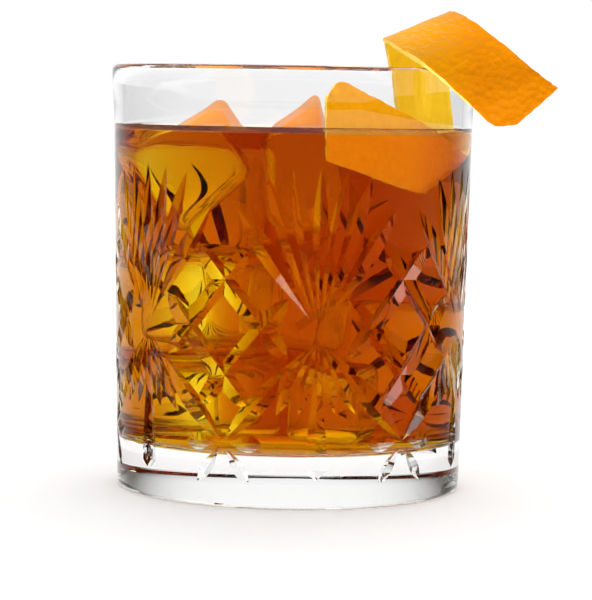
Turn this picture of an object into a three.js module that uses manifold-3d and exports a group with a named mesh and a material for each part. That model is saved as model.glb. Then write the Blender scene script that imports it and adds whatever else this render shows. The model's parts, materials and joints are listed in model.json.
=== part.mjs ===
// Old fashioned cocktail: a cut-glass tumbler that holds the drink, two blocks of ice that stand
// out of it and a twist of orange peel hooked over the rim.
// Millimetres, +Z up. The origin is the middle of the tumbler's flat foot and the front faces -Y.
// A bearing round the tumbler is measured in degrees from the front, and grows towards +X.

import * as THREE from 'three';
import { mergeVertices } from 'three/addons/utils/BufferGeometryUtils.js';
import { ConvexGeometry } from 'three/addons/geometries/ConvexGeometry.js';
import Module from 'manifold-3d';

const manifold = await Module();
manifold.setup();

// Driving dimensions of the tumbler
const HEIGHT = 96;
const RIM_RADIUS = 41.5;
const SHOULDER_RADIUS = 40.85;
const SHOULDER_HEIGHT = 81.5;
const FOOT_RADIUS = 39.4;
const FOOT_BEVEL = 1.2;
const RIM_WALL = 2.6;
const FLOOR_HEIGHT = 11;
const FLOOR_FILLET = 4;
const BORE_AT_FLOOR = 36.2;
const BORE_AT_LIQUID = 38.4;
const TURNED_SIDES = 72;

// Driving dimensions of the drink and of what stands in it
const LIQUID_HEIGHT = 81.4;
const MENISCUS_RISE = 1.3;
const MENISCUS_REACH = 2.6;
const GAP = 0.3;
const PEEL_THICKNESS = 1.3;
const PEEL_STEPS = 48;

// The cut pattern repeats round the tumbler: a fan over a smaller fan, then a lattice over a star
const REPEATS = 6;
const FAN_BEARING = 8.8;
const LATTICE_BEARING = -21.2;
const UPPER_VERTEX = 38.8;
const LOWER_VERTEX = 37.7;
const STAR_HEIGHT = 14.2;
const FLUTE_END = 6.2;
const HALF_SECTOR = 180 / REPEATS;
const CUT_STEPS = 4;
const CUT_LIFT = 0.05;
const CUTTER_HEADROOM = 0.8;

// Corners closer than the first distance are one corner. After a cut, edges are straightened
// within the second, and slivers shorter than the third close up.
const SAME_CORNER = 1e-4;
const STRAIGHTEN = 0.02;
const SLIVER = 0.005;

const radians = THREE.MathUtils.degToRad;
const lerp = THREE.MathUtils.lerp;

// The bore widens evenly from the floor up to the rim
function boreRadius(z) {
  const slope = (BORE_AT_LIQUID - BORE_AT_FLOOR) / (LIQUID_HEIGHT - FLOOR_HEIGHT);
  return BORE_AT_FLOOR + slope * (z - FLOOR_HEIGHT);
}

// The outside widens evenly from the foot up to the shoulder, where the rim starts to flare
function bodyRadius(z) {
  return lerp(FOOT_RADIUS, SHOULDER_RADIUS, z / SHOULDER_HEIGHT);
}

function bodyPoint(bearing, z) {
  const angle = radians(bearing);
  return new THREE.Vector3(bodyRadius(z) * Math.sin(angle), -bodyRadius(z) * Math.cos(angle), z);
}

function bodyNormal(bearing) {
  const angle = radians(bearing);
  const slope = (SHOULDER_RADIUS - FOOT_RADIUS) / SHOULDER_HEIGHT;
  return new THREE.Vector3(Math.sin(angle), -Math.cos(angle), -slope).normalize();
}

// Points of a circular arc in a turned profile, both ends included
function arc(centreRadius, centreHeight, radius, fromDegrees, toDegrees, steps) {
  const points = [];
  for (let i = 0; i <= steps; i += 1) {
    const angle = radians(lerp(fromDegrees, toDegrees, i / steps));
    points.push([centreRadius + radius * Math.cos(angle), centreHeight + radius * Math.sin(angle)]);
  }
  return points;
}

// A closed geometry as a solid, with the corners merged and the collapsed triangles at a pole dropped
function solidFrom(geometry, weldDistance = SAME_CORNER) {
  const bare = geometry.clone();
  bare.deleteAttribute('normal');
  bare.deleteAttribute('uv');
  const merged = mergeVertices(bare, weldDistance);
  const triangles = [];
  for (let i = 0; i < merged.index.count; i += 3) {
    const corners = [0, 1, 2].map((k) => merged.index.getX(i + k));
    if (new Set(corners).size === 3) triangles.push(...corners);
  }
  return new manifold.Manifold(new manifold.Mesh({
    numProp: 3,
    vertProperties: Float32Array.from(merged.getAttribute('position').array),
    triVerts: Uint32Array.from(triangles),
  }));
}

function geometryFrom(solid) {
  const mesh = solid.getMesh();
  const geometry = new THREE.BufferGeometry();
  geometry.setAttribute('position', new THREE.BufferAttribute(Float32Array.from(mesh.vertProperties), 3));
  geometry.setIndex(Array.from(mesh.triVerts));
  geometry.computeVertexNormals();
  return geometry;
}

// A cut solid with its nearly straight edges made straight and its slivers closed up
function withoutSlivers(solid) {
  const plain = solidFrom(geometryFrom(solid));
  return solidFrom(geometryFrom(plain.simplify(STRAIGHTEN)), SLIVER);
}

// A profile of [radius, height] points turned about the upright axis
function turned(profile) {
  const points = profile.map(([radius, height]) => new THREE.Vector2(radius, height));
  return solidFrom(new THREE.LatheGeometry(points, TURNED_SIDES).rotateX(Math.PI / 2));
}

// A closed skin over rings of points that all have the same count, with a fan over each end.
// Seen from the last ring, each ring runs clockwise.
function skinned(rings) {
  const count = rings[0].length;
  const positions = rings.flat().flatMap((p) => [p.x, p.y, p.z]);
  const index = [];
  for (let i = 0; i + 1 < rings.length; i += 1) {
    for (let j = 0; j < count; j += 1) {
      const a = i * count + j;
      const b = i * count + (j + 1) % count;
      index.push(a, b + count, b, a, a + count, b + count);
    }
  }
  const last = (rings.length - 1) * count;
  for (let j = 1; j + 1 < count; j += 1) {
    index.push(0, j, j + 1);
    index.push(last, last + j + 1, last + j);
  }
  const geometry = new THREE.BufferGeometry();
  geometry.setAttribute('position', new THREE.BufferAttribute(Float32Array.from(positions), 3));
  geometry.setIndex(index);
  return solidFrom(geometry);
}

// How deep a cut is along its length, as a share of its greatest depth.
// A leaf is deepest a little past its middle, and a flute stays deep almost to its end.
const DEPTH_SHAPES = {
  leaf: (s) => Math.sin(Math.PI * s ** 1.2),
  groove: (s) => Math.min(1, 3.2 * Math.sin(Math.PI * s)),
  flute: (s) => Math.min(s / 0.8, (1 - s) / 0.07, 1),
};

// The wheel that makes a cut: a ridge that follows the wall, sunk in it by the depth of the cut there
function cutter(cut, axisBearing, mirror) {
  const rings = [];
  const slope = cut.halfWidth / cut.depth;
  const steps = cut.stations ?? Array.from({ length: CUT_STEPS + 1 }, (unused, i) => i / CUT_STEPS);
  const at = (s) => bodyPoint(axisBearing + mirror * lerp(cut.from[0], cut.to[0], s),
    lerp(cut.from[1], cut.to[1], s));
  for (const s of steps) {
    const normal = bodyNormal(axisBearing + mirror * lerp(cut.from[0], cut.to[0], s));
    const along = at(s + 0.01).sub(at(s - 0.01)).normalize();
    const across = new THREE.Vector3().crossVectors(normal, along).normalize();
    const depth = cut.depth * DEPTH_SHAPES[cut.shape](s) - CUT_LIFT;
    const spread = slope * (depth + CUTTER_HEADROOM);
    const top = at(s).addScaledVector(normal, CUTTER_HEADROOM);
    rings.push([
      at(s).addScaledVector(normal, -depth),
      top.clone().addScaledVector(across, -spread),
      top.clone().addScaledVector(across, spread),
    ]);
  }
  return skinned(rings);
}

// A leaf that starts at a fan's vertex and leans from the upright by an angle.
// Its rise is negative where the fan points down.
function petal(vertexHeight, lean, rise, halfWidth, depth) {
  const run = Math.abs(rise) * Math.tan(radians(lean));
  const bearing = THREE.MathUtils.radToDeg(run / bodyRadius(vertexHeight));
  return { shape: 'leaf', from: [0, vertexHeight], to: [bearing, vertexHeight + rise], halfWidth, depth };
}

// Cuts on the middle line of a fan, and those that stand on both sides of it
const fanCentre = [
  petal(UPPER_VERTEX, 0, 36.2, 1.6, 0.85),
  {
    shape: 'flute', from: [0, LOWER_VERTEX], to: [0, FLUTE_END], halfWidth: 2.35, depth: 1.1,
    stations: [0, 0.4, 0.8, 0.93, 1],
  },
];
const fanSides = [
  petal(UPPER_VERTEX, 9.7, 35.6, 1.7, 0.9),
  petal(UPPER_VERTEX, 19.2, 34.4, 1.8, 0.95),
  petal(UPPER_VERTEX, 34, 27.1, 2.1, 1.1),
  petal(LOWER_VERTEX, 14, -17.2, 1.5, 0.8),
  petal(LOWER_VERTEX, 28, -17.4, 1.7, 0.9),
  { shape: 'leaf', from: [0, LOWER_VERTEX], to: [HALF_SECTOR, STAR_HEIGHT], halfWidth: 2.3, depth: 1.15 },
];

// Cuts on both sides of the middle line of a lattice: its four grooves, then the arms of the star
const latticeSides = [
  { shape: 'groove', from: [-8.8, 57], to: [20.7, 32.6], halfWidth: 2.1, depth: 1.1 },
  { shape: 'groove', from: [-20.9, 46.1], to: [8.8, 21.6], halfWidth: 2.1, depth: 1.1 },
  { shape: 'leaf', from: [1, STAR_HEIGHT], to: [13, STAR_HEIGHT], halfWidth: 2.1, depth: 1 },
  { shape: 'leaf', from: [0, STAR_HEIGHT], to: [9, 5], halfWidth: 1.5, depth: 0.8 },
];

function cutPattern() {
  const cutters = [];
  for (let i = 0; i < REPEATS; i += 1) {
    const fan = FAN_BEARING + i * 2 * HALF_SECTOR;
    const lattice = LATTICE_BEARING + i * 2 * HALF_SECTOR;
    for (const cut of fanCentre) cutters.push(cutter(cut, fan, 1));
    for (const side of [1, -1]) {
      for (const cut of fanSides) cutters.push(cutter(cut, fan, side));
      for (const cut of latticeSides) cutters.push(cutter(cut, lattice, side));
    }
  }
  return manifold.Manifold.union(cutters);
}

function tumbler() {
  const rim = RIM_WALL / 2;
  const blank = turned([
    [0, 0],
    ...arc(FOOT_RADIUS - FOOT_BEVEL, FOOT_BEVEL, FOOT_BEVEL, -90, 0, 2),
    [SHOULDER_RADIUS, SHOULDER_HEIGHT],
    [lerp(SHOULDER_RADIUS, RIM_RADIUS, 0.6), lerp(SHOULDER_HEIGHT, HEIGHT, 0.3)],
    ...arc(RIM_RADIUS - rim, HEIGHT - rim, rim, 0, 180, 6),
    ...arc(boreRadius(FLOOR_HEIGHT + FLOOR_FILLET) - FLOOR_FILLET, FLOOR_HEIGHT + FLOOR_FILLET,
      FLOOR_FILLET, 0, -90, 3),
    [0, FLOOR_HEIGHT],
  ]);
  return withoutSlivers(blank.subtract(cutPattern()));
}

// A block of ice with rounded edges: the hull of a small ball at each of its corners
function iceBlock(corners, edgeRadius) {
  const ball = new THREE.IcosahedronGeometry(edgeRadius, 1).getAttribute('position');
  const points = [];
  for (const [x, y, z] of corners) {
    for (let i = 0; i < ball.count; i += 1) {
      points.push(new THREE.Vector3().fromBufferAttribute(ball, i).add(new THREE.Vector3(x, y, z)));
    }
  }
  return solidFrom(new ConvexGeometry(points));
}

const LEFT_ICE = {
  edgeRadius: 1.6,
  corners: [
    [-17.4, -13, 85.5], [-16.5, 0, 88.1], [-30.7, -13.5, 75.2], [-31.7, 3, 76.8],
    [-9.1, -14, 72], [-8.4, 3, 73.9], [-20.4, -13, 60], [-21.4, 3, 61.1],
  ],
};
const RIGHT_ICE = {
  edgeRadius: 1.3,
  corners: [
    [4.4, -16, 85.8], [4.8, -4, 89.3], [-3.5, -17, 79.9], [-4.2, -2, 81.1],
    [9.5, -16, 61.5], [10.4, 1, 62.6], [-2, -17, 60.5], [-2.6, 0, 61.6],
  ],
};

// The edges of the peel, as pairs of points across it, from its end inside the glass to the outer one.
// It follows the wall down, turns up behind, folds over the top and falls outside the rim.
const PEEL_RULINGS = [
  [[6.9, -36.6, 75.7], [6.7, -36.9, 89.2]],
  [[9.9, -35.9, 74.6], [9.7, -36.3, 92.6]],
  [[13.8, -34.4, 73.3], [15.4, -34.1, 90.1]],
  [[19, -31.7, 71.2], [22.5, -29.9, 86.5]],
  [[23.7, -28.2, 69.5], [28.9, -23.7, 82.9]],
  [[26.5, -23.6, 68.8], [33.8, -15.5, 78.9]],
  [[26.7, -18.3, 69.4], [36.4, -7, 77.1]],
  [[25.9, -14, 72.8], [36.8, -2, 80.1]],
  [[24.6, -11.8, 79.3], [36.3, -0.2, 85.3]],
  [[23.1, -10.8, 87.7], [35.3, -0.6, 92.4]],
  [[21.7, -11, 95.2], [34.5, -3.2, 100.5]],
  [[20.5, -12.8, 100.3], [34.4, -8.5, 106.5]],
  [[20.1, -17.6, 101.9], [35.1, -14.6, 108.2]],
  [[22.9, -24.6, 99.9], [39.4, -20.6, 105.9]],
  [[29.2, -30.4, 95.8], [45.7, -24.8, 101]],
  [[38.4, -30, 88.1], [52.3, -26.4, 95.7]],
  [[43.6, -27.6, 83.9], [55.9, -26.3, 93.2]],
  [[48.6, -26.5, 84], [57.7, -26.2, 92]],
];

// How far across the peel each row of its section lies, and the share of the thickness there
const PEEL_SECTION = [[0, 0.55], [0.05, 1], [0.5, 1], [0.95, 1], [1, 0.55]];

// The peel, or with a margin the room that it needs
function peel(margin) {
  const curves = [0, 1].map((side) => new THREE.CatmullRomCurve3(
    PEEL_RULINGS.map((ruling) => new THREE.Vector3(...ruling[side]))));
  const middle = (t) => curves[0].getPoint(t).lerp(curves[1].getPoint(t), 0.5);
  const endMargin = (i) => (i === PEEL_STEPS ? margin : 0) - (i === 0 ? margin : 0);
  const rings = [];
  for (let i = 0; i <= PEEL_STEPS; i += 1) {
    const t = i / PEEL_STEPS;
    const [low, high] = curves.map((curve) => curve.getPoint(t));
    const along = middle(Math.min(1, t + 0.005)).sub(middle(Math.max(0, t - 0.005))).normalize();
    const across = high.clone().sub(low).normalize();
    const outward = new THREE.Vector3().crossVectors(along, across).normalize();
    low.addScaledVector(across, -margin).addScaledVector(along, endMargin(i));
    high.addScaledVector(across, margin).addScaledVector(along, endMargin(i));
    const row = (side) => PEEL_SECTION.map(([share, thick]) => low.clone().lerp(high, share)
      .addScaledVector(outward, side * (thick * PEEL_THICKNESS / 2 + margin)));
    rings.push([...row(1), ...row(-1).reverse()]);
  }
  return skinned(rings);
}

function drink() {
  const floor = FLOOR_HEIGHT + GAP;
  const wall = (z) => boreRadius(z) - GAP;
  const edge = LIQUID_HEIGHT + MENISCUS_RISE;
  const body = turned([
    [0, floor],
    ...arc(wall(floor + FLOOR_FILLET) - FLOOR_FILLET, floor + FLOOR_FILLET, FLOOR_FILLET, -90, 0, 3),
    [wall(edge), edge],
    [wall(edge) - MENISCUS_REACH * 0.3, LIQUID_HEIGHT + MENISCUS_RISE * 0.35],
    [wall(edge) - MENISCUS_REACH, LIQUID_HEIGHT],
    [0, LIQUID_HEIGHT],
  ]);
  const hollows = [
    iceBlock(LEFT_ICE.corners, LEFT_ICE.edgeRadius + GAP),
    iceBlock(RIGHT_ICE.corners, RIGHT_ICE.edgeRadius + GAP),
    peel(GAP),
  ];
  return withoutSlivers(body.subtract(manifold.Manifold.union(hollows)));
}

const materials = {
  tumbler: { color: 0xeef3f4, roughness: 0.05, metalness: 0, transparent: true, opacity: 0.35 },
  drink: { color: 0xcc5408, roughness: 0.05, metalness: 0 },
  ice_left: { color: 0xf0b488, roughness: 0.1, metalness: 0 },
  ice_right: { color: 0xf0b488, roughness: 0.1, metalness: 0 },
  orange_twist: { color: 0xf2a000, roughness: 0.5, metalness: 0 },
};

function node(name, solid) {
  const material = new THREE.MeshStandardMaterial({ flatShading: true, ...materials[name] });
  const mesh = new THREE.Mesh(geometryFrom(solid), material);
  mesh.name = name;
  return mesh;
}

const group = new THREE.Group();
group.add(
  node('tumbler', tumbler()),
  node('drink', drink()),
  node('ice_left', iceBlock(LEFT_ICE.corners, LEFT_ICE.edgeRadius)),
  node('ice_right', iceBlock(RIGHT_ICE.corners, RIGHT_ICE.edgeRadius)),
  node('orange_twist', peel(0)),
);

export default group;
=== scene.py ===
import json
import math

import bmesh
import bpy
from bpy.props import FloatProperty, FloatVectorProperty, IntProperty, PointerProperty
from mathutils import Matrix, Vector

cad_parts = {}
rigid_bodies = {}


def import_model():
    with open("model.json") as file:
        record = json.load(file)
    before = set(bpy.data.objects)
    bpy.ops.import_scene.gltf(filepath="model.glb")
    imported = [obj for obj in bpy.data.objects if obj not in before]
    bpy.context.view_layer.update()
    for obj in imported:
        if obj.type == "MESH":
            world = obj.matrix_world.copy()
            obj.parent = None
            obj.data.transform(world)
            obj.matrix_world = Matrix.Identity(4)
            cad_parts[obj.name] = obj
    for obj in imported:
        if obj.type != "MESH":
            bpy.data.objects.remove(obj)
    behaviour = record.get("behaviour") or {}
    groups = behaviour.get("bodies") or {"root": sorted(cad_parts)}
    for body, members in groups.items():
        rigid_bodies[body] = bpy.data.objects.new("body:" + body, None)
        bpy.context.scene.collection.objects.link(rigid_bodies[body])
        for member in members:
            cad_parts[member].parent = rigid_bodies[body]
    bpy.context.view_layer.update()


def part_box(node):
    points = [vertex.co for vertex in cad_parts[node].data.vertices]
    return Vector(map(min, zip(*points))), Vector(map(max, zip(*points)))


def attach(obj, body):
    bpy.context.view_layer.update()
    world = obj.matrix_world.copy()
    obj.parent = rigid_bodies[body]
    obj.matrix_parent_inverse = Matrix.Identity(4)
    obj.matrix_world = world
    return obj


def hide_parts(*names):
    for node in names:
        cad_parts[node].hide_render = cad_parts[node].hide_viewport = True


bl_info = {
    "name": "Old Fashioned Cocktail",
    "version": (1, 0, 0),
    "blender": (4, 5, 0),
    "location": "View3D > Sidebar > Cocktail",
    "description": "A cut-glass tumbler with its drink, ice and a twist of orange peel",
    "category": "Add Mesh",
}

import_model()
_, GLASS_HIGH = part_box("tumbler")

MM = 0.001
DRINK_LEVEL = 81.4 * MM

# Photograph frame, and the camera that was fitted to the glass in it
PHOTO_WIDTH = 592
PHOTO_HEIGHT = 600
FOCAL_PIXELS = 2618
CAMERA_PLACE = (0, -600.9 * MM, 90 * MM)
CAMERA_PITCH, CAMERA_YAW, CAMERA_ROLL = 4.513, 0.119, 0.921
SENSOR_MM = 36

# The cut pattern repeats round the glass. Bearings are degrees from the front, towards +X.
REPEATS = 6
FAN_BEARING = 8.8
LATTICE_BEARING = -21.2
HALF_SECTOR = 180 / REPEATS
UPPER_VERTEX = 38.8
LOWER_VERTEX = 37.7
STAR_HEIGHT = 14.2
FLUTE_END = 6.2
CUT_STATIONS = 12

# In mm: the wall's mean outer radius, how far a cut's ends stay off the wall, and how far
# a cutter stands out of it
CUT_RADIUS = 40.2
CUT_LIFT = 0.05
CUTTER_HEADROOM = 0.8

# Rows of faces up a wall, how fast the rim flares out, and how near a face's middle is to
# a surface that it lies on
WALL_ROWS = 24
FLARE_RATE = 1.05
TOUCH = 0.02 * MM


def linear(hex_colour):
    """An sRGB hex colour as linear red, green and blue."""
    parts = [int(hex_colour[i:i + 2], 16) / 255 for i in (1, 3, 5)]
    return tuple(c / 12.92 if c <= 0.04045 else ((c + 0.055) / 1.055) ** 2.4 for c in parts)


def lerp(a, b, t):
    return a + (b - a) * t


def smooth(t):
    t = min(1, max(0, t))
    return t * t * (3 - 2 * t)


def arc(centre_r, centre_z, radius, start, end, steps):
    """Points of a circular arc in a turned profile, both ends included."""
    angles = [math.radians(lerp(start, end, i / steps)) for i in range(steps + 1)]
    return [(centre_r + radius * math.cos(a), centre_z + radius * math.sin(a)) for a in angles]


def select_only(piece):
    """Leaves one object selected and active, in object mode."""
    if bpy.context.object and bpy.context.object.mode != "OBJECT":
        bpy.ops.object.mode_set(mode="OBJECT")
    bpy.ops.object.select_all(action="DESELECT")
    piece.select_set(True)
    bpy.context.view_layer.objects.active = piece


def new_piece(name):
    """Names the primitive that was just added."""
    piece = bpy.context.object
    piece.name = name
    piece.data.name = name
    return piece


def modify(piece, kind, **settings):
    """Adds a modifier with its settings and applies it."""
    select_only(piece)
    modifier = piece.modifiers.new(kind.title(), kind)
    for key, value in settings.items():
        setattr(modifier, key, value)
    bpy.ops.object.modifier_apply(modifier=modifier.name)


def outward_normals(piece):
    select_only(piece)
    bpy.ops.object.mode_set(mode="EDIT")
    bpy.ops.mesh.select_all(action="SELECT")
    bpy.ops.mesh.remove_doubles(threshold=1e-7)
    bpy.ops.mesh.normals_make_consistent(inside=False)
    bpy.ops.object.mode_set(mode="OBJECT")


def grow(piece, distance):
    """Moves every face outwards by a distance, or inwards by a negative one."""
    select_only(piece)
    bpy.ops.object.mode_set(mode="EDIT")
    bpy.ops.mesh.select_all(action="SELECT")
    bpy.ops.transform.shrink_fatten(value=distance, use_even_offset=True)
    bpy.ops.object.mode_set(mode="OBJECT")


def shade(piece, angle):
    """Shades smooth, with edges sharper than the angle in degrees kept crisp."""
    select_only(piece)
    bpy.ops.object.shade_smooth_by_angle(angle=math.radians(angle))


def remove(pieces):
    for piece in pieces:
        bpy.data.objects.remove(piece)


def dress(piece, *materials):
    """Gives a piece its materials, and drops the empty slot that a Boolean can leave."""
    piece.data.materials.clear()
    for material in materials:
        piece.data.materials.append(material)


def settle(piece, slot, *replaced):
    """Rides a finished piece on the body, in place of the solids that it stands for."""
    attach(piece, "root")
    if replaced:
        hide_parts(*replaced)


def turned(name, profile, segments):
    """Turns a profile of (radius, height) points, from one point on the axis to another."""
    (radius, z), *rest = profile
    bpy.ops.mesh.primitive_circle_add(
        vertices=segments, radius=radius, fill_type="TRIFAN", location=(0, 0, 0))
    piece = new_piece(name)
    bpy.ops.object.mode_set(mode="EDIT")
    bpy.ops.mesh.select_mode(type="EDGE")
    bpy.ops.transform.translate(value=(0, 0, z))
    mesh = bmesh.from_edit_mesh(piece.data)
    for edge in mesh.edges:
        edge.select_set(edge.is_boundary)
    bmesh.update_edit_mesh(piece.data)
    for next_radius, next_z in rest:
        bpy.ops.mesh.extrude_edges_move()
        bpy.ops.transform.translate(value=(0, 0, next_z - z))
        scale = next_radius / radius
        bpy.ops.transform.resize(value=(scale, scale, 1), center_override=(0, 0, next_z))
        radius, z = next_radius, next_z
    bpy.ops.mesh.merge(type="CENTER")
    bpy.ops.object.mode_set(mode="OBJECT")
    outward_normals(piece)
    return piece


# Materials

def new_material(name):
    material = bpy.data.materials.new(name)
    material.use_nodes = True
    material.node_tree.nodes.clear()
    return material


def add_node(owner, kind, links=(), **settings):
    """Adds a shader node, sets its sockets and properties, and links (socket, from node, output)."""
    node = owner.node_tree.nodes.new(kind)
    for key, value in settings.items():
        socket = next((s for s in node.inputs if s.name.replace(" ", "_") == key), None)
        if socket is None:
            setattr(node, key, value)
        else:
            socket.default_value = value
    for socket, source, output in links:
        owner.node_tree.links.new(source.outputs[output], node.inputs[socket])
    return node


def span(start, end, low=0, high=1):
    """Settings of a value that goes from low to high while its source goes from start to end."""
    return {"From_Min": start, "From_Max": end, "To_Min": low, "To_Max": high}


# Glass, spirit and ice that touch are so alike that they bend light but hardly mirror it
WETTED_MIRROR = 0.05


def clear_material(name, ior, roughness=0, mirror=1):
    """A clear dielectric: its index of refraction, and its share of the usual mirror image."""
    material = new_material(name)
    surface = add_node(material, "ShaderNodeBsdfPrincipled", Base_Color=(1, 1, 1, 1),
                       Roughness=roughness, IOR=ior, Transmission_Weight=1,
                       Specular_Tint=(mirror, mirror, mirror, 1))
    output = add_node(material, "ShaderNodeOutputMaterial", [("Surface", surface, "BSDF")])
    return material, surface, output


def polished_glass(glass):
    """Lead-free crystal, cut and acid-polished: bright refraction and crisp facet edges."""
    return clear_material("polished_cut_crystal", glass.ior)[0]


def wetted_glass(glass):
    """The same crystal where the drink lies on it: the wall all but vanishes."""
    return clear_material("polished_crystal_wetted", glass.ior, mirror=WETTED_MIRROR)[0]


def amber_spirit(drink):
    """Whiskey with bitters: yellow where it is thin, orange to deep red where it is deep."""
    material, _, output = clear_material("amber_spirit", drink.ior, mirror=WETTED_MIRROR)
    depth = add_node(material, "ShaderNodeVolumeAbsorption",
                     Color=(*drink.absorption_colour, 1), Density=drink.absorption_density)
    material.node_tree.links.new(depth.outputs["Volume"], output.inputs["Volume"])
    return material


# Width of the waves that melting leaves, and the height in which the ice turns cloudy
ICE_WAVE = 9 * MM
TIP_FADE = 2 * MM
WET_ROUGHNESS = 0.01


def melting_ice(ice, level):
    """Clear ice, wet and half melted: soft waves in the drink, and cloudy orange tips above it."""
    material, surface, output = clear_material(
        "melting_clear_ice", ice.ior, WET_ROUGHNESS, WETTED_MIRROR)
    place = add_node(material, "ShaderNodeTexCoord")
    waves = add_node(material, "ShaderNodeTexNoise", [("Vector", place, "Object")],
                     Scale=1 / ICE_WAVE, Detail=1, Roughness=0.3)
    bump = add_node(material, "ShaderNodeBump", [("Height", waves, "Fac")],
                    Strength=0.2, Distance=0.4 * MM)
    height = add_node(material, "ShaderNodeSeparateXYZ", [("Vector", place, "Object")])
    dry = level + TIP_FADE
    cloudy = add_node(material, "ShaderNodeMapRange", [("Value", height, "Z")],
                      **span(level, dry, WET_ROUGHNESS, ice.tip_roughness))
    tint = add_node(material, "ShaderNodeMapRange", [("Value", height, "Z")], **span(level, dry))
    colour = add_node(material, "ShaderNodeMix", [("Factor", tint, "Result")], data_type="RGBA")
    colour.inputs["A"].default_value = (1, 1, 1, 1)
    colour.inputs["B"].default_value = (*ice.tip_colour, 1)
    material.node_tree.links.new(colour.outputs["Result"], surface.inputs["Base Color"])
    material.node_tree.links.new(cloudy.outputs["Result"], surface.inputs["Roughness"])
    material.node_tree.links.new(bump.outputs["Normal"], surface.inputs["Normal"])
    frost = add_node(material, "ShaderNodeBsdfPrincipled", [("Normal", bump, "Normal")],
                     Base_Color=(*ice.frost_colour, 1), Roughness=0.3, IOR=1.2)
    share = add_node(material, "ShaderNodeMapRange", [("Value", height, "Z")],
                     **span(level, dry, 0, ice.frost_share))
    both = add_node(material, "ShaderNodeMixShader", [("Fac", share, "Result")])
    material.node_tree.links.new(surface.outputs["BSDF"], both.inputs[1])
    material.node_tree.links.new(frost.outputs["BSDF"], both.inputs[2])
    material.node_tree.links.new(both.outputs["Shader"], output.inputs["Surface"])
    return material


# Distance between the peel's oil pits, and the size of the pith's grain
PIT_PITCH = 1.5 * MM
PITH_GRAIN = 2.2 * MM

# Linear factors on the peel's colour where it is in the drink, and the painted light along the
# zest's highest fold
SOAKED_ZEST = (1.4, 0.88, 0.4)
SOAKED_PITH = (1, 0.85, 0.3)
PAINTED_CREST_LIGHT = (1.8, 1.95, 1)

# Where the zest goes from painted shade to painted light along X, and where painted light comes in
# on its highest fold along Z
ZEST_TURNS = (40 * MM, 24 * MM)
CREST_TURNS = (95 * MM, 105 * MM)

# Heights over the drink's level between which the peel's colour changes
SOAK_TURNS = (-0.6 * MM, 0.2 * MM)


def tinted(material, share, colour, factors):
    """A colour that is multiplied by factors as far as a share goes from 0 to 1."""
    product = add_node(material, "ShaderNodeMix",
                       [("Factor", share, "Result"), ("A", colour, "Result")],
                       data_type="RGBA", blend_type="MULTIPLY")
    product.inputs["B"].default_value = (*factors, 1)
    return product


def soaked(material, place, colour, level, factors):
    """A colour that changes below the drink's surface, where the peel has soaked it up."""
    height = add_node(material, "ShaderNodeSeparateXYZ", [("Vector", place, "Object")])
    low, high = (level + turn for turn in SOAK_TURNS)
    under = add_node(material, "ShaderNodeMapRange", [("Value", height, "Z")],
                     **span(low, high, 1, 0))
    return tinted(material, under, colour, factors)


def orange_zest(twist, level):
    """The waxy outside of the peel: deep orange with oil pits a millimetre or two apart, with
    painted shade that darkens it along X and a painted highlight on its highest fold.
    """
    material = new_material("orange_zest_waxy")
    place = add_node(material, "ShaderNodeTexCoord")
    along = add_node(material, "ShaderNodeSeparateXYZ", [("Vector", place, "Object")])
    # Painted shade and light: the zest is darker towards +X and lighter towards the axis, as if
    # light fell that way
    painted_light_share = add_node(material, "ShaderNodeMapRange", [("Value", along, "X")], **span(*ZEST_TURNS))
    pits = add_node(material, "ShaderNodeTexVoronoi", [("Vector", place, "Object")],
                    Scale=1 / PIT_PITCH, Randomness=1)
    colour = add_node(material, "ShaderNodeMix", [("Factor", painted_light_share, "Result")], data_type="RGBA")
    colour.inputs["A"].default_value = (*twist.zest_painted_shade, 1)
    colour.inputs["B"].default_value = (*twist.zest_painted_lit, 1)
    crest = add_node(material, "ShaderNodeMapRange", [("Value", along, "Z")], **span(*CREST_TURNS))
    # Painted light: the highest fold is made paler, as if lit from above
    colour = tinted(material, crest, colour, PAINTED_CREST_LIGHT)
    colour = soaked(material, place, colour, level, SOAKED_ZEST)
    bump = add_node(material, "ShaderNodeBump", [("Height", pits, "Distance")],
                    Strength=0.8, Distance=0.4 * MM)
    surface = add_node(material, "ShaderNodeBsdfPrincipled",
                       [("Base Color", colour, "Result"), ("Normal", bump, "Normal")],
                       Roughness=0.38, IOR=1.2, Specular_Tint=(1, 0.7, 0.12, 1),
                       Subsurface_Weight=0.15,
                       Subsurface_Radius=(1.5 * MM, 0.7 * MM, 0.2 * MM), Subsurface_Scale=1)
    add_node(material, "ShaderNodeOutputMaterial", [("Surface", surface, "BSDF")])
    return material


def orange_pith(name, dark, light, level):
    """The spongy inside of the peel, stained yellow by the zest's oil."""
    material = new_material(name)
    place = add_node(material, "ShaderNodeTexCoord")
    sponge = add_node(material, "ShaderNodeTexNoise", [("Vector", place, "Object")],
                      Scale=1 / PITH_GRAIN, Detail=4, Roughness=0.6)
    colour = add_node(material, "ShaderNodeMix", [("Factor", sponge, "Fac")], data_type="RGBA")
    colour.inputs["A"].default_value = (*dark, 1)
    colour.inputs["B"].default_value = (*light, 1)
    colour = soaked(material, place, colour, level, SOAKED_PITH)
    bump = add_node(material, "ShaderNodeBump", [("Height", sponge, "Fac")],
                    Strength=0.4, Distance=0.3 * MM)
    surface = add_node(material, "ShaderNodeBsdfPrincipled",
                       [("Base Color", colour, "Result"), ("Normal", bump, "Normal")],
                       Roughness=0.55, IOR=1.2, Specular_Tint=(1, 0.85, 0.3, 1),
                       Subsurface_Weight=0.2,
                       Subsurface_Radius=(2 * MM, 1.2 * MM, 0.4 * MM), Subsurface_Scale=1)
    add_node(material, "ShaderNodeOutputMaterial", [("Surface", surface, "BSDF")])
    return material


# Settings that a user would change

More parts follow.
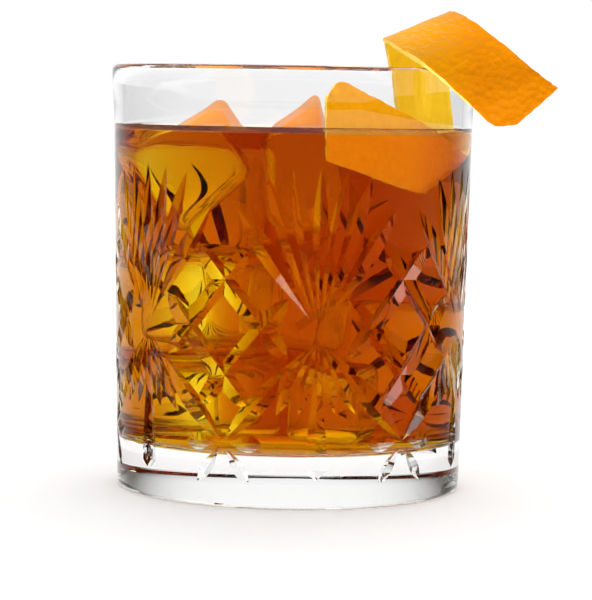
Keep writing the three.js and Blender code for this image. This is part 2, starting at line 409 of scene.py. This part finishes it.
class GlassSettings(bpy.types.PropertyGroup):
    height: FloatProperty(
        name="Height", description="Height of the tumbler",
        default=GLASS_HIGH.z, unit="LENGTH")
    rim_radius: FloatProperty(
        name="Rim radius", description="Outer radius at the rim",
        default=GLASS_HIGH.x, unit="LENGTH")
    shoulder_radius: FloatProperty(
        name="Shoulder radius", description="Outer radius where the rim starts to flare",
        default=40.85 * MM, unit="LENGTH")
    shoulder_height: FloatProperty(
        name="Shoulder height", description="Height where the rim starts to flare",
        default=81.5 * MM, unit="LENGTH")
    foot_radius: FloatProperty(
        name="Foot radius", description="Outer radius at the foot",
        default=39.4 * MM, unit="LENGTH")
    foot_bevel: FloatProperty(
        name="Foot bevel", description="Rounding of the foot's edge",
        default=1.2 * MM, unit="LENGTH")
    rim_wall: FloatProperty(
        name="Rim wall", description="Thickness of the wall at the rim",
        default=2.6 * MM, unit="LENGTH")
    floor_height: FloatProperty(
        name="Floor height", description="Thickness of the clear base",
        default=11 * MM, unit="LENGTH")
    floor_fillet: FloatProperty(
        name="Floor fillet", description="Rounding between floor and wall inside",
        default=4 * MM, unit="LENGTH")
    floor_bore: FloatProperty(
        name="Bore at floor", description="Inner radius at the floor",
        default=36.2 * MM, unit="LENGTH")
    liquid_bore: FloatProperty(
        name="Bore at liquid", description="Inner radius at the drink's level",
        default=38.4 * MM, unit="LENGTH")
    ior: FloatProperty(name="IOR", description="Index of refraction of the glass", default=1.52)
    segments: IntProperty(name="Segments", description="Sides of the turned wall", default=288)


class DrinkSettings(bpy.types.PropertyGroup):
    level: FloatProperty(
        name="Level", description="Height of the drink's flat surface",
        default=DRINK_LEVEL, unit="LENGTH")
    meniscus_rise: FloatProperty(
        name="Meniscus rise", description="How far the drink climbs the wall",
        default=1.3 * MM, unit="LENGTH")
    meniscus_reach: FloatProperty(
        name="Meniscus reach", description="How far from the wall the climb starts",
        default=2.6 * MM, unit="LENGTH")
    wall_overlap: FloatProperty(
        name="Wall overlap", description="How far the drink reaches into the glass",
        default=0.12 * MM, unit="LENGTH")
    ior: FloatProperty(name="IOR", description="Index of refraction of the drink", default=1.36)
    absorption_colour: FloatVectorProperty(
        name="Absorption colour", description="Linear colour that passes through the drink",
        default=(0.962, 0.874, 0.05), subtype="COLOR")
    absorption_density: FloatProperty(
        name="Absorption density", description="Strength of the drink's colour per metre",
        default=400)


class IceSettings(bpy.types.PropertyGroup):
    corner_radius: FloatProperty(
        name="Corner radius", description="How far the blocks' faces stand out from their corners",
        default=1.6 * MM, unit="LENGTH")
    bevel: FloatProperty(
        name="Melt", description="Rounding of the blocks' edges",
        default=2.4 * MM, unit="LENGTH")
    voxel: FloatProperty(
        name="Voxel", description="Size of the cells that even out the blocks' surface",
        default=0.85 * MM, unit="LENGTH")
    dents: FloatProperty(
        name="Dents", description="Depth of the melted waves",
        default=0.3 * MM, unit="LENGTH")
    tip_roughness: FloatProperty(
        name="Tip roughness", description="Cloudiness of the ice above the drink", default=0.45)
    tip_colour: FloatVectorProperty(
        name="Tip colour", description="Tint of the ice above the drink",
        default=linear("#F9B161"), subtype="COLOR")
    frost_colour: FloatVectorProperty(
        name="Frost colour", description="Colour of the cloudy film on the ice above the drink",
        default=linear("#FDA238"), subtype="COLOR")
    frost_share: FloatProperty(
        name="Frost share", description="How much of the tips the cloudy film hides",
        default=0.7)
    film: FloatProperty(
        name="Film", description="How far a block reaches out of its hollow in the drink",
        default=0.06 * MM, unit="LENGTH")
    ior: FloatProperty(name="IOR", description="Index of refraction of ice", default=1.31)


class TwistSettings(bpy.types.PropertyGroup):
    thickness: FloatProperty(
        name="Thickness", description="Thickness of the peel", default=1.3 * MM, unit="LENGTH")
    pits: FloatProperty(
        name="Pits", description="Depth of the oil pits", default=0.3 * MM, unit="LENGTH")
    # The lit and shaded zest colours are painted light and painted shade, mixed along X
    zest_painted_lit: FloatVectorProperty(
        name="Light zest", description="Lighter colour of the outside",
        default=linear("#C08002"), subtype="COLOR")
    zest_painted_shade: FloatVectorProperty(
        name="Dark zest", description="Darker colour of the outside",
        default=linear("#AE6400"), subtype="COLOR")
    pith_light: FloatVectorProperty(
        name="Light pith", description="Lighter colour of the inside",
        default=linear("#DCB61C"), subtype="COLOR")
    pith_dark: FloatVectorProperty(
        name="Dark pith", description="Darker colour of the inside",
        default=linear("#D4AA0A"), subtype="COLOR")
    cut_edge: FloatVectorProperty(
        name="Cut edge", description="Palest colour of the edges that the knife left",
        default=linear("#F4DC80"), subtype="COLOR")


class StageSettings(bpy.types.PropertyGroup):
    floor_size: FloatProperty(
        name="Floor size", description="Side of the pale floor", default=6, unit="LENGTH")
    floor_colour: FloatVectorProperty(
        name="Floor colour", description="Colour of the pale floor",
        default=linear("#FCFCFC"), subtype="COLOR")
    back_wall: FloatProperty(
        name="Back wall", description="Brightness behind the glass, and above and below it",
        default=3)
    side_wall: FloatProperty(
        name="Side walls", description="Brightness of the walls beside the glass", default=1.45)
    front_wall: FloatProperty(
        name="Front wall", description="Brightness of the wall in front of the glass",
        default=1.1)
    fill: FloatProperty(
        name="Fill", description="Brightness of the soft light on matt surfaces", default=1.05)
    sheltered_fill: FloatProperty(
        name="Sheltered fill", description="Brightness of that light in folds and behind glass",
        default=3.4)
    back_power: FloatProperty(
        name="Back power", description="Power of the light above and behind the glass",
        default=2.8, unit="POWER")
    front_power: FloatProperty(
        name="Front power", description="Power of the soft box in front, to the right",
        default=1.5, unit="POWER")


# The glass

def bore_radius(glass, z):
    """The bore widens evenly from the floor to the rim."""
    share = (z - glass.floor_height) / (DRINK_LEVEL - glass.floor_height)
    return lerp(glass.floor_bore, glass.liquid_bore, share)


def tumbler_profile(glass):
    """The foot, the outer wall, the rounded rim, the bore and its floor, as (radius, height)."""
    rim = glass.rim_wall / 2
    bevel, fillet = glass.foot_bevel, glass.floor_fillet
    rim_z = glass.height - rim
    fillet_z = glass.floor_height + fillet
    fillet_r = bore_radius(glass, fillet_z) - fillet
    points = [(glass.foot_radius * 0.5, 0)]
    points += arc(glass.foot_radius - bevel, bevel, bevel, -90, 0, 5)
    for i in range(1, WALL_ROWS + 1):
        t = i / WALL_ROWS
        points.append((lerp(glass.foot_radius, glass.shoulder_radius, t),
                       lerp(bevel, glass.shoulder_height, t)))
    for t in (0.2, 0.4, 0.6, 0.8):
        flare = smooth(t * FLARE_RATE)
        points.append((lerp(glass.shoulder_radius, glass.rim_radius, flare),
                       lerp(glass.shoulder_height, rim_z, t)))
    points += arc(glass.rim_radius - rim, rim_z, rim, 0, 180, 12)
    for i in range(1, WALL_ROWS):
        z = lerp(rim_z, fillet_z, i / WALL_ROWS)
        points.append((bore_radius(glass, z), z))
    points += arc(fillet_r, fillet_z, fillet, 0, -90, 8)
    points.append((fillet_r * 0.5, glass.floor_height))
    points.append((fillet_r * 0.02, glass.floor_height))
    return points


# A leaf is deepest past its middle, a groove runs in fast, and a flute ends short at its foot
LEAF_SKEW = 1.5
GROOVE_RUN_IN = 3.2
FLUTE_RUN_IN, FLUTE_RUN_OUT = 0.8, 0.07

# Depth of a cut at a share of its length, as a share of its full depth
DEPTH_SHAPES = {
    "leaf": lambda s: math.sin(math.pi * s ** LEAF_SKEW),
    "groove": lambda s: min(1, GROOVE_RUN_IN * math.sin(math.pi * s)),
    "flute": lambda s: min(s / FLUTE_RUN_IN, (1 - s) / FLUTE_RUN_OUT, 1),
}


def petal(vertex_height, lean, rise, half_width, depth, side=1):
    """A leaf that starts at a fan's vertex and leans from the upright by an angle."""
    run = abs(rise) * math.tan(math.radians(lean))
    bearing = math.degrees(run / CUT_RADIUS) * side
    return "leaf", (0, vertex_height), (bearing, vertex_height + rise), half_width, depth


def sector_cuts():
    """The cuts of one repeat, as (axis bearing, shape, start, end, half width, depth) in mm."""
    cuts = [
        (FAN_BEARING, *petal(UPPER_VERTEX, 0, 36.2, 1.6, 0.85)),
        (FAN_BEARING, "flute", (0, LOWER_VERTEX), (0, FLUTE_END), 2.35, 1.1),
    ]
    for side in (1, -1):
        cuts += [(FAN_BEARING, *cut) for cut in (
            petal(UPPER_VERTEX, 9.7, 35.6, 1.7, 0.9, side),
            petal(UPPER_VERTEX, 19.2, 34.4, 1.8, 0.95, side),
            petal(UPPER_VERTEX, 34, 27.1, 2.1, 1.1, side),
            petal(LOWER_VERTEX, 14, -17.2, 1.5, 0.8, side),
            petal(LOWER_VERTEX, 28, -17.4, 1.7, 0.9, side),
            ("leaf", (0, LOWER_VERTEX), (side * HALF_SECTOR, STAR_HEIGHT), 2.3, 1.15),
        )]
        cuts += [(LATTICE_BEARING, *cut) for cut in (
            ("groove", (side * -8.8, 57), (side * 20.7, 32.6), 2.1, 1.1),
            ("groove", (side * -20.9, 46.1), (side * 8.8, 21.6), 2.1, 1.1),
            ("leaf", (side * 1, STAR_HEIGHT), (side * 13, STAR_HEIGHT), 2.1, 1),
            ("leaf", (0, STAR_HEIGHT), (side * 9, 5), 1.5, 0.8),
        )]
    return cuts


def wheel_ridge(name, length, half_width, depth, shape):
    """A ridge along +Z whose keel points to +Y, as deep at each station as the cut is there."""
    slope = half_width / depth
    stations = [i / CUT_STATIONS for i in range(CUT_STATIONS + 1)]
    if shape == "flute":
        stations = sorted([*stations, FLUTE_RUN_IN, 1 - FLUTE_RUN_OUT])
    depths = [depth * DEPTH_SHAPES[shape](s) for s in stations]
    heights = [(d - CUT_LIFT + CUTTER_HEADROOM) * MM for d in depths]
    top = -CUTTER_HEADROOM * MM
    start = heights[0]
    bpy.ops.mesh.primitive_circle_add(vertices=3, radius=1, fill_type="NGON", location=(0, 0, 0))
    ridge = new_piece(name)
    bpy.ops.object.mode_set(mode="EDIT")
    # Half the width of a triangle of radius 1, and its height
    unit_half, unit_height = math.sqrt(3) / 2, 1.5
    bpy.ops.transform.resize(value=(slope * start / unit_half, start / unit_height, 1),
                             center_override=(0, 0, 0))
    bpy.ops.transform.translate(value=(0, top + start / 3, 0))
    z = 0
    for i in range(1, len(stations)):
        step = (stations[i] - stations[i - 1]) * length
        z += step
        bpy.ops.mesh.extrude_region_move(TRANSFORM_OT_translate={"value": (0, 0, step)})
        ratio = heights[i] / heights[i - 1]
        bpy.ops.transform.resize(value=(ratio, ratio, 1), center_override=(0, top, z))
    bpy.ops.object.mode_set(mode="OBJECT")
    outward_normals(ridge)
    return ridge


def wrap_round(ridge, glass):
    """Leans a ridge with the wall's taper and bends it round the wall."""
    taper = math.atan((glass.shoulder_radius - glass.foot_radius) / glass.shoulder_height)
    ridge.data.transform(Matrix.Rotation(taper, 4, "X"))
    across = [v.co.x for v in ridge.data.vertices]
    modify(ridge, "SIMPLE_DEFORM", deform_method="BEND", deform_axis="Z",
           angle=(max(across) - min(across)) / glass.foot_radius)
    ridge.data.transform(Matrix.Translation((0, -glass.foot_radius, 0)))


def cutters(glass):
    """One object for each cut of the pattern, with its copies in every repeat."""
    made = []
    for number, (axis, shape, start, end, half_width, depth) in enumerate(sector_cuts()):
        across = [math.radians(bearing) * glass.foot_radius for bearing, _ in (start, end)]
        up = [height * MM for _, height in (start, end)]
        run, rise = across[1] - across[0], up[1] - up[0]
        ridge = wheel_ridge(f"cutter_{number}", math.hypot(run, rise), half_width, depth, shape)
        ridge.data.transform(Matrix.Translation((across[0], 0, up[0]))
                             @ Matrix.Rotation(math.atan2(run, rise), 4, "Y"))
        wrap_round(ridge, glass)
        whole = bmesh.new()
        for repeat in range(REPEATS):
            copy = ridge.data.copy()
            copy.transform(Matrix.Rotation(math.radians(axis + repeat * 2 * HALF_SECTOR), 4, "Z"))
            whole.from_mesh(copy)
            bpy.data.meshes.remove(copy)
        whole.to_mesh(ridge.data)
        whole.free()
        made.append(ridge)
    return made


def cut_away(piece, tools):
    """Cuts tools out of a piece with one Boolean, then removes the tools."""
    bench = bpy.data.collections.new("bench")
    bpy.context.scene.collection.children.link(bench)
    for tool in tools:
        bench.objects.link(tool)
    modify(piece, "BOOLEAN", operation="DIFFERENCE", solver="MANIFOLD",
           operand_type="COLLECTION", collection=bench)
    remove(tools)
    bpy.data.collections.remove(bench)


class MakeTumbler(bpy.types.Operator):
    """Turns the glass and cuts its pattern"""
    bl_idname = "cocktail.make_tumbler"
    bl_label = "Cut-glass tumbler"

    def execute(self, context):
        glass = context.scene.cocktail_glass
        tumbler = turned("cut_tumbler", tumbler_profile(glass), glass.segments)
        cut_away(tumbler, cutters(glass))
        dress(tumbler, polished_glass(glass), wetted_glass(glass))
        drink = context.scene.cocktail_drink
        low, high = glass.floor_height - TOUCH, drink.level + drink.meniscus_rise
        for face in tumbler.data.polygons:
            x, y, z = face.center
            if low < z < high and math.hypot(x, y) < bore_radius(glass, z) + TOUCH:
                face.material_index = 1
        shade(tumbler, 14)
        settle(tumbler, "cut_glass", "tumbler")
        return {"FINISHED"}


# The ice

# Corners of each block in mm: a low or high end, a front or back side, a left or right side
STANDING_ICE = {
    "ice_left": [
        (-20.4, -13, 60), (-9.1, -14, 72), (-21.4, 3, 61.1), (-8.4, 3, 73.9),
        (-30.7, -13.5, 75.2), (-17.4, -13, 85.5), (-31.7, 3, 76.8), (-16.5, 0, 88.1),
    ],
    "ice_right": [
        (-2, -17, 60.5), (9.5, -16, 61.5), (-2.6, 0, 61.6), (10.4, 1, 62.6),
        (-3.5, -17, 79.9), (4.4, -16, 85.8), (-4.2, -2, 81.1), (4.8, -4, 89.3),
    ],
}

# Sunk blocks in mm: centre, size and turn in degrees. No block reaches into another one.
SUNK_ICE = [
    ((-15, 17.5, 66), (21, 21, 25), (4, 3, 8)),
    ((-15.9, -15.6, 45), (22.5, 21.5, 21), (3, -3, 42)),
    ((-16.5, 15.9, 40.5), (22, 22, 22), (-3, 4, 47)),
    ((2, 0.5, 42), (14, 15, 19), (4, 6, 20)),
    ((-15.5, -16.5, 22.5), (22, 21, 18), (-4, 3, 46)),
    ((-15.6, 14.5, 20), (22, 21, 14.5), (3, -3, 40)),
    ((8.5, -21, 22), (15, 16, 17), (6, 5, -14)),
    ((13.5, 22, 31), (16, 15, 22), (-5, 5, 30)),
]

# How far the pattern of waves moves on from one block to the next, in metres
SEED_SHIFT = (0.37, 0.11, 0.23)


def melt(block, ice, seed):
    """Rounds a block, evens its surface and gives it melted waves."""
    modify(block, "BEVEL", width=ice.bevel, segments=3, limit_method="NONE")
    modify(block, "REMESH", mode="VOXEL", voxel_size=ice.voxel)
    modify(block, "SMOOTH", factor=0.6, iterations=6)
    waves = bpy.data.textures.new(f"{block.name}_waves", "CLOUDS")
    waves.noise_scale = ICE_WAVE
    waves.noise_depth = 2
    offset = Matrix.Translation([seed * shift for shift in SEED_SHIFT])
    block.data.transform(offset)
    modify(block, "DISPLACE", texture=waves, texture_coords="LOCAL", strength=ice.dents * 2,
           mid_level=0.55)
    block.data.transform(offset.inverted())
    bpy.data.textures.remove(waves)
    select_only(block)
    bpy.ops.object.shade_smooth()


class MakeIce(bpy.types.Operator):
    """Makes the blocks of ice, standing and sunk"""
    bl_idname = "cocktail.make_ice"
    bl_label = "Ice"

    def execute(self, context):
        ice = context.scene.cocktail_ice
        material = melting_ice(ice, context.scene.cocktail_drink.level)
        for seed, (node, corners) in enumerate(STANDING_ICE.items()):
            bpy.ops.mesh.primitive_cube_add(size=2, location=(0, 0, 0))
            block = new_piece(f"{node.removeprefix('ice_')}_ice_block")
            for vertex in block.data.vertices:
                side, back, high = (c > 0 for c in vertex.co)
                vertex.co = Vector(corners[4 * high + 2 * back + side]) * MM
            outward_normals(block)
            grow(block, ice.corner_radius)
            melt(block, ice, seed)
            dress(block, material)
            settle(block, "ice", node)
        for seed, (centre, size, turn) in enumerate(SUNK_ICE, len(STANDING_ICE)):
            bpy.ops.mesh.primitive_cube_add(
                size=1, location=[c * MM for c in centre], scale=[s * MM for s in size],
                rotation=[math.radians(a) for a in turn])
            block = new_piece(f"sunk_{seed}_ice_block")
            bpy.ops.object.transform_apply(location=True, rotation=True, scale=True)
            melt(block, ice, seed)
            dress(block, material)
            settle(block, "ice")
        return {"FINISHED"}


# The drink

DRINK_SEGMENTS = 192
MENISCUS_ROWS = 8
MENISCUS_CURVE = 2.4


def drink_profile(glass, drink):
    """The drink against floor and wall, up its meniscus and back over its level."""
    spill = drink.wall_overlap
    fillet_z = glass.floor_height + glass.floor_fillet
    fillet_r = bore_radius(glass, fillet_z) - glass.floor_fillet
    edge_z = drink.level + drink.meniscus_rise
    edge_r = bore_radius(glass, edge_z) + spill
    points = [(fillet_r * 0.5, glass.floor_height - spill)]
    points += arc(fillet_r, fillet_z, glass.floor_fillet + spill, -90, 0, 8)
    for i in range(1, WALL_ROWS):
        z = lerp(fillet_z, edge_z, i / WALL_ROWS)
        points.append((bore_radius(glass, z) + spill, z))
    points.append((edge_r, edge_z))
    for i in range(1, MENISCUS_ROWS + 1):
        t = i / MENISCUS_ROWS
        points.append((edge_r - spill - drink.meniscus_reach * t,
                       drink.level + drink.meniscus_rise * (1 - t) ** MENISCUS_CURVE))
    points.append((edge_r * 0.5, drink.level))
    points.append((edge_r * 0.02, drink.level))
    return points


class MakeDrink(bpy.types.Operator):
    """Fills the glass up to the level, with hollows for the ice"""
    bl_idname = "cocktail.make_drink"
    bl_label = "Drink"

    def execute(self, context):
        glass = context.scene.cocktail_glass
        drink = context.scene.cocktail_drink
        ice = context.scene.cocktail_ice
        body = turned("amber_drink", drink_profile(glass, drink), DRINK_SEGMENTS)
        hollows = []
        for block in [o for o in context.scene.objects if o.name.endswith("_ice_block")]:
            hollow = block.copy()
            hollow.data = block.data.copy()
            hollow.parent = None
            context.scene.collection.objects.link(hollow)
            grow(hollow, -ice.film)
            hollows.append(hollow)
        cut_away(body, hollows)
        dress(body, amber_spirit(drink))
        shade(body, 30)
        settle(body, "amber_drink", "drink")
        return {"FINISHED"}


# The twist of peel

# Pairs of points across the peel in mm, from its end inside the glass to the outer one
PEEL_RULINGS = [
    ((6.9, -36.6, 75.7), (6.7, -36.9, 89.2)),
    ((9.9, -35.9, 74.6), (9.7, -36.3, 92.6)),
    ((13.8, -34.4, 73.3), (15.4, -34.1, 90.1)),
    ((19, -31.7, 71.2), (22.5, -29.9, 86.5)),
    ((23.7, -28.2, 69.5), (28.9, -23.7, 82.9)),
    ((26.5, -23.6, 68.8), (33.8, -15.5, 78.9)),
    ((26.7, -18.3, 69.4), (36.4, -7, 77.1)),
    ((25.9, -14, 72.8), (36.8, -2, 80.1)),
    ((24.6, -11.8, 79.3), (36.3, -0.2, 85.3)),
    ((23.1, -10.8, 87.7), (35.3, -0.6, 92.4)),
    ((21.7, -11, 95.2), (34.5, -3.2, 100.5)),
    ((20.5, -12.8, 100.3), (34.4, -8.5, 106.5)),
    ((20.1, -17.6, 101.9), (35.1, -14.6, 108.2)),
    ((22.9, -24.6, 99.9), (39.4, -20.6, 105.9)),
    ((29.2, -30.4, 95.8), (45.7, -24.8, 101)),
    ((38.4, -30, 88.1), (52.3, -26.4, 95.7)),
    ((43.6, -27.6, 83.9), (55.9, -26.3, 93.2)),
    ((48.6, -26.5, 84), (57.7, -26.2, 92)),
]
PEEL_ROWS = 320
PEEL_COLUMNS = 50


def through(points, t):
    """A point of the Catmull-Rom curve through points, with t from 0 to 1."""
    place = t * (len(points) - 1)
    i = min(int(place), len(points) - 2)
    u = place - i
    before = points[i - 1] if i else points[0] * 2 - points[1]
    after = points[i + 2] if i + 2 < len(points) else points[-1] * 2 - points[-2]
    a, b = points[i], points[i + 1]
    return 0.5 * (2 * a + (b - before) * u + (2 * before - 5 * a + 4 * b - after) * u * u
                  + (3 * a - before - 3 * b + after) * u ** 3)


class MakeTwist(bpy.types.Operator):
    """Makes the twist of orange peel"""
    bl_idname = "cocktail.make_twist"
    bl_label = "Orange twist"

    def execute(self, context):
        twist = context.scene.cocktail_twist
        edges = [[Vector(pair[side]) * MM for pair in PEEL_RULINGS] for side in (0, 1)]
        bpy.ops.mesh.primitive_grid_add(
            x_subdivisions=PEEL_ROWS, y_subdivisions=PEEL_COLUMNS, size=1, location=(0, 0, 0))
        peel = new_piece("orange_twist_peel")
        for vertex in peel.data.vertices:
            t, share = vertex.co.x + 0.5, vertex.co.y + 0.5
            vertex.co = through(edges[0], t).lerp(through(edges[1], t), share)
        pits = bpy.data.textures.new("oil_pits", "VORONOI")
        pits.noise_scale = PIT_PITCH
        modify(peel, "DISPLACE", texture=pits, texture_coords="LOCAL", strength=twist.pits,
               mid_level=0.4)
        bpy.data.textures.remove(pits)
        level = context.scene.cocktail_drink.level
        dress(peel, orange_zest(twist, level),
              orange_pith("orange_pith_oily", twist.pith_dark, twist.pith_light, level),
              orange_pith("orange_pith_cut_edge", twist.pith_light, twist.cut_edge, level))
        modify(peel, "SOLIDIFY", thickness=twist.thickness, offset=0, use_even_offset=True,
               material_offset=1, material_offset_rim=2)
        shade(peel, 40)
        settle(peel, "orange_peel", "orange_twist")
        return {"FINISHED"}


# The stage

def place_camera(scene):
    """The camera that matches the photograph, from the fit to the glass's outline."""
    pitch, yaw, roll = (math.radians(a) for a in (CAMERA_PITCH, CAMERA_YAW, CAMERA_ROLL))
    forward = Vector((math.sin(yaw) * math.cos(pitch), math.cos(yaw) * math.cos(pitch),
                      -math.sin(pitch)))
    right = Vector((math.cos(yaw), -math.sin(yaw), 0))
    up = right.cross(forward)
    camera_right = right * math.cos(roll) + up * math.sin(roll)
    camera_up = up * math.cos(roll) - right * math.sin(roll)
    data = bpy.data.cameras.new("photo_camera")
    data.sensor_width = SENSOR_MM
    data.lens = FOCAL_PIXELS * SENSOR_MM / max(PHOTO_WIDTH, PHOTO_HEIGHT)
    data.clip_start = 0.05
    camera = bpy.data.objects.new("photo_camera", data)
    scene.collection.objects.link(camera)
    turn = Matrix((camera_right, camera_up, -forward)).transposed().to_4x4()
    camera.matrix_world = Matrix.Translation(CAMERA_PLACE) @ turn
    scene.camera = camera


def area_light(name, place, target, size, power):
    """A white soft box that faces a target."""
    data = bpy.data.lights.new(name, "AREA")
    data.shape = "RECTANGLE"
    data.size, data.size_y = size
    data.energy = power
    light = bpy.data.objects.new(name, data)
    bpy.context.scene.collection.objects.link(light)
    aim = (Vector(target) - Vector(place)).to_track_quat("-Z", "Y")
    light.matrix_world = Matrix.Translation(place) @ aim.to_matrix().to_4x4()
    return light


# Where a wall starts and where it is at its brightest, as a ray's share along the wall's axis
BACK_WALL_TURNS = (0.3, 0.85)
FRONT_WALL_TURNS = (-0.85, -0.3)
CEILING_TURNS = (0.3, 0.8)
MIRRORED_TURNS = (0.45, 1)

# Surfaces that a mirror image can pass through before it is taken for plain wall
MIRROR_PASSES = 2


def seen_walls(world, stage, way, ray):
    """What is seen through the glass, or mirrored in it, by the way that a ray leaves."""
    soft = {"interpolation_type": "SMOOTHSTEP"}
    back = add_node(world, "ShaderNodeMapRange", [("Value", way, "Y")], **soft,
                    **span(*BACK_WALL_TURNS, stage.side_wall, stage.back_wall))
    forward = add_node(world, "ShaderNodeMapRange", [("Value", way, "Y")], **soft,
                       **span(*FRONT_WALL_TURNS, 1, 0))
    walls = add_node(world, "ShaderNodeMix",
                     [("Factor", forward, "Result"), ("A", back, "Result")], B=stage.front_wall)
    upright = add_node(world, "ShaderNodeMath", [(0, way, "Z")], operation="ABSOLUTE")
    ceiling = add_node(world, "ShaderNodeMapRange", [("Value", upright, "Value")], **soft,
                       **span(*CEILING_TURNS, 0, stage.back_wall))
    around = add_node(world, "ShaderNodeMath", [(0, ceiling, "Result"), (1, walls, "Result")],
                      operation="MAXIMUM")
    mirrored = add_node(world, "ShaderNodeMapRange", [("Value", way, "Y")], **soft,
                        **span(*MIRRORED_TURNS))
    gloss_behind = add_node(world, "ShaderNodeMapRange", [("Value", ray, "Glossy Depth")])
    near = add_node(world, "ShaderNodeMapRange", [("Value", ray, "Transmission Depth")],
                    **span(MIRROR_PASSES, MIRROR_PASSES + 1, 1, 0))
    near_gloss = add_node(world, "ShaderNodeMath",
                          [(0, gloss_behind, "Result"), (1, near, "Result")], operation="MULTIPLY")
    gloss = add_node(world, "ShaderNodeMath",
                     [(0, ray, "Is Glossy Ray"), (1, near_gloss, "Value")], operation="MAXIMUM")
    return add_node(world, "ShaderNodeMix",
                    [("Factor", gloss, "Value"), ("A", around, "Value"),
                     ("B", mirrored, "Result")])


def soft_fill(world, stage, ray):
    """The even light on what is matt, stronger through glass and off another matt face."""
    twice = add_node(world, "ShaderNodeMapRange", [("Value", ray, "Diffuse Depth")], **span(1, 2))
    past_glass = add_node(world, "ShaderNodeMapRange", [("Value", ray, "Is Diffuse Ray")],
                          **span(0, 1, 1, 0))
    sheltered = add_node(world, "ShaderNodeMath",
                         [(0, twice, "Result"), (1, past_glass, "Result")], operation="MAXIMUM")
    return add_node(world, "ShaderNodeMix", [("Factor", sheltered, "Value")],
                    A=stage.fill, B=stage.sheltered_fill)


def studio_walls(stage):
    """Bright walls behind, above and below the glass, and darker ones beside and before it.
    Its gloss mirrors only the back wall, and the camera sees plain white past the glass."""
    world = bpy.data.worlds.new("studio_walls")
    world.use_nodes = True
    world.node_tree.nodes.clear()
    world.cycles.sampling_method = "NONE"
    place = add_node(world, "ShaderNodeTexCoord")
    way = add_node(world, "ShaderNodeSeparateXYZ", [("Vector", place, "Generated")])
    ray = add_node(world, "ShaderNodeLightPath")
    matt = add_node(world, "ShaderNodeMapRange", [("Value", ray, "Diffuse Depth")])
    indoors = add_node(world, "ShaderNodeMix",
                       [("Factor", matt, "Result"),
                        ("A", seen_walls(world, stage, way, ray), "Result"),
                        ("B", soft_fill(world, stage, ray), "Result")])
    strength = add_node(world, "ShaderNodeMix",
                        [("Factor", ray, "Is Camera Ray"), ("A", indoors, "Result")], B=1)
    light = add_node(world, "ShaderNodeBackground", [("Strength", strength, "Result")],
                     Color=(1, 1, 1, 1))
    add_node(world, "ShaderNodeOutputWorld", [("Surface", light, "Background")])
    return world


# Foot and floor are a hair apart, so that neither shows through the other
FLOOR_GAP = 0.02 * MM


class MakeStage(bpy.types.Operator):
    """Sets the camera, the pale floor and the soft studio light"""
    bl_idname = "cocktail.make_stage"
    bl_label = "Stage"

    def execute(self, context):
        scene = context.scene
        stage = scene.cocktail_stage
        place_camera(scene)
        bpy.ops.mesh.primitive_plane_add(size=stage.floor_size, location=(0, 0, -FLOOR_GAP))
        bpy.ops.object.transform_apply(location=True)
        floor = new_piece("pale_floor")
        paint = new_material("pale_matt_paint")
        surface = add_node(paint, "ShaderNodeBsdfDiffuse", Color=(*stage.floor_colour, 1))
        add_node(paint, "ShaderNodeOutputMaterial", [("Surface", surface, "BSDF")])
        floor.data.materials.append(paint)
        floor.visible_glossy = False
        scene.world = studio_walls(stage)
        area_light("back_top", place=(0.1, 0.7, 1.0), target=(0, 0, 0.03), size=(0.9, 0.6),
                   power=stage.back_power)
        highlight = area_light("front_right", place=(0.6, -0.51, 0.51), target=(0, 0, 0.07),
                               size=(0.5, 0.28), power=stage.front_power)
        highlight.visible_diffuse = False
        scene.view_settings.view_transform = "Standard"
        scene.cycles.max_bounces = 32
        scene.cycles.transmission_bounces = 32
        scene.cycles.glossy_bounces = 12
        return {"FINISHED"}


class CocktailPanel(bpy.types.Panel):
    """Lists the pieces of the cocktail"""
    bl_idname = "VIEW3D_PT_cocktail"
    bl_label = "Old Fashioned"
    bl_space_type = "VIEW_3D"
    bl_region_type = "UI"
    bl_category = "Cocktail"

    def draw(self, context):
        for group, operator in PIECES:
            box = self.layout.box()
            box.operator(operator.bl_idname)
            settings = getattr(context.scene, group)
            for name in settings.bl_rna.properties.keys():
                if name not in {"rna_type", "name"}:
                    box.prop(settings, name)


SETTINGS = {
    "cocktail_stage": StageSettings,
    "cocktail_glass": GlassSettings,
    "cocktail_ice": IceSettings,
    "cocktail_drink": DrinkSettings,
    "cocktail_twist": TwistSettings,
}
PIECES = [
    ("cocktail_stage", MakeStage),
    ("cocktail_glass", MakeTumbler),
    ("cocktail_ice", MakeIce),
    ("cocktail_drink", MakeDrink),
    ("cocktail_twist", MakeTwist),
]


def register():
    for name, group in SETTINGS.items():
        bpy.utils.register_class(group)
        setattr(bpy.types.Scene, name, PointerProperty(type=group))
    for _, operator in PIECES:
        bpy.utils.register_class(operator)
    bpy.utils.register_class(CocktailPanel)


def unregister():
    bpy.utils.unregister_class(CocktailPanel)
    for _, operator in reversed(PIECES):
        bpy.utils.unregister_class(operator)
    for name, group in reversed(SETTINGS.items()):
        delattr(bpy.types.Scene, name)
        bpy.utils.unregister_class(group)


def main():
    register()
    for _, operator in PIECES:
        group, name = operator.bl_idname.split(".")
        getattr(getattr(bpy.ops, group), name)()


if __name__ == "__main__":
    main()
